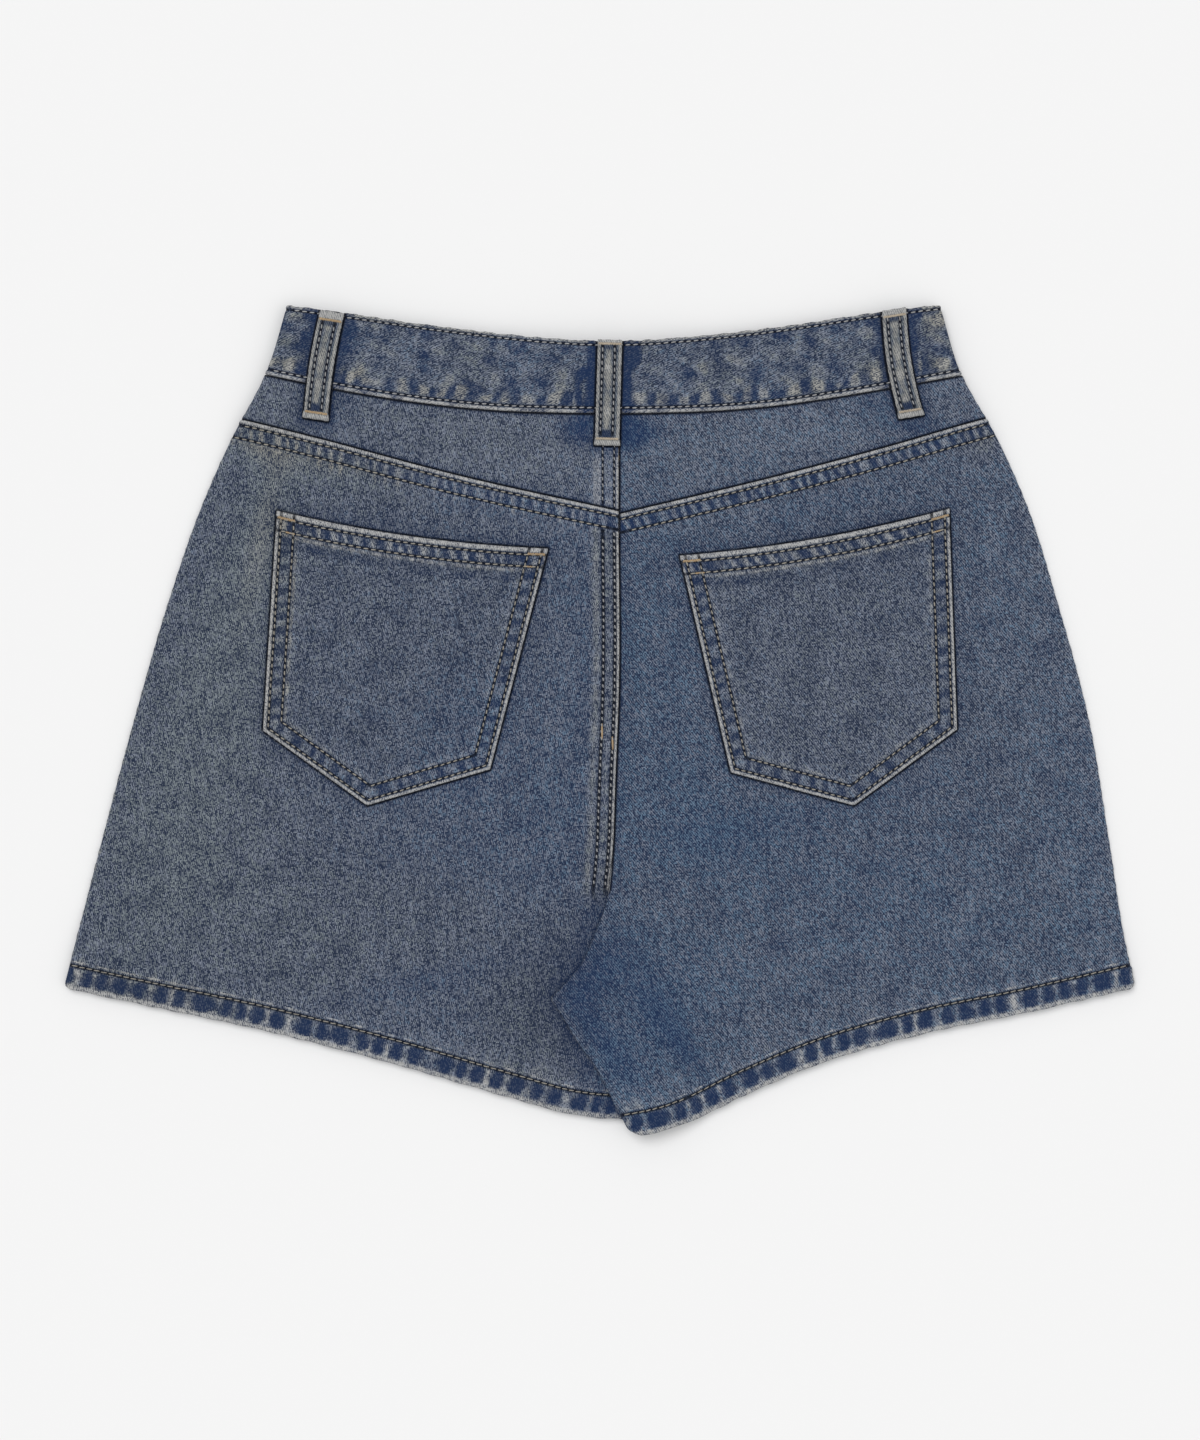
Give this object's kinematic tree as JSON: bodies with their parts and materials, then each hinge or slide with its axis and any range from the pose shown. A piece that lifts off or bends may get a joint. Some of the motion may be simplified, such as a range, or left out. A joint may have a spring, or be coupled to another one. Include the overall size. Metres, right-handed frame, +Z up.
{
  "type": "denim shorts",
  "caption": "High-rise denim shorts laid flat with the back uppermost, with yoke, patch pockets, waistband, belt loops and a zip fly.",
  "frame": {"origin": "on the table, under the middle of the garment's bounding box", "axes": "+X towards the wearer's right side, +Y towards the waist, +Z up from the table through the front to the back of the garment"},
  "size_m": [0.5688, 0.4405, 0.0131],
  "materials": {
    "denim": "mid-blue washed twill denim, worn pale on its edges",
    "thread": "matt khaki spun sewing thread",
    "zip_tape": "navy woven zip tape",
    "brass": "old brass, brushed"
  },
  "bodies": {
    "root": {"waistband": "denim", "yoke_left": "denim", "yoke_right": "denim", "back_panel_left": "denim", "back_panel_right": "denim", "front_panel_left": "denim", "front_panel_right": "denim", "pocket_left": "denim", "pocket_right": "denim", "belt_loop_centre_back": "denim", "belt_loop_back_left": "denim", "belt_loop_back_right": "denim", "belt_loop_front_left": "denim", "belt_loop_front_right": "denim", "fly_zip": "zip_tape", "zip_slider": "brass", "fly_button": "brass"}
  },
  "joints": []
}
